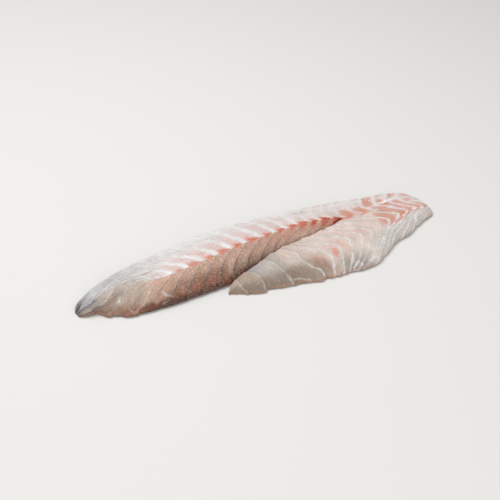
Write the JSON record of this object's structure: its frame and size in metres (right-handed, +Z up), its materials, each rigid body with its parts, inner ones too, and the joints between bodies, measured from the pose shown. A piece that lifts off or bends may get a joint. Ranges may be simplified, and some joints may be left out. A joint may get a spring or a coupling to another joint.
{
  "type": "raw snapper fillet",
  "caption": "Raw skin-down fish fillet: thick loin with a sloping cut face, a V-shaped gap where the bones were taken out, a thin belly flap and a flat blunt tail end.",
  "frame": {"origin": "centre of the footprint at the underside, where the fillet rests on the board", "axes": "+X from the head end to the tail end, +Y from the belly side to the back side, +Z up"},
  "size_m": [0.3865, 0.1156, 0.0265],
  "materials": {
    "flesh": "wet raw white fish, slightly pink, soft sheen"
  },
  "bodies": {
    "root": {"fillet": "flesh"}
  },
  "joints": []
}
